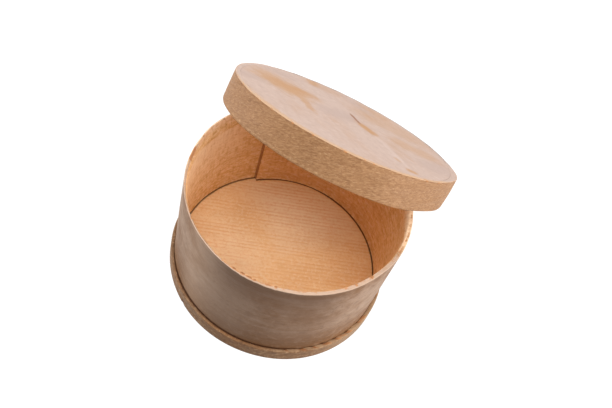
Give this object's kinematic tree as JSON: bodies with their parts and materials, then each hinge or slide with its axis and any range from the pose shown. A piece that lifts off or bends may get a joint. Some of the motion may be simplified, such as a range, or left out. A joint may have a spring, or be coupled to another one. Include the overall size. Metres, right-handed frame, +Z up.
{
  "type": "round bentwood box with lid",
  "caption": "Round wooden box of bent strips with an inset floor, a foot hoop and a loose cap lid, shown open with the lid hung over the back of the rim.",
  "frame": {"origin": "centre of the underside of the box, on the surface that it stands on", "axes": "+Z up along the box's axis, +Y to the back, where the open lid leans, +X to the right seen from the front"},
  "size_m": [0.1276, 0.1542, 0.1274],
  "materials": {
    "wall_wood": "bare bentwood strip, grey-brown and handled outside, clean orange-tan inside",
    "floor_wood": "bare sawn board with fine straight grain",
    "hoop_wood": "bare bentwood strip with a worn upper edge",
    "band_wood": "bare bentwood strip with rippled fleck and a pale worn edge",
    "lid_wood": "bare board, pale and dry with tan streaks"
  },
  "bodies": {
    "box": {"box_wall": "wall_wood", "box_floor": "floor_wood", "foot_hoop": "hoop_wood"},
    "lid": {"lid_band": "band_wood", "lid_disc": "lid_wood"}
  },
  "joints": [
    {"name": "lid_swing", "type": "hinge", "parent": "box", "child": "lid", "pos_m": [0.0017, 0.02961, 0.0242], "axis": [-0.9954, 0.0285, 0.0914], "range_deg": [-34.85, 0]}
  ]
}
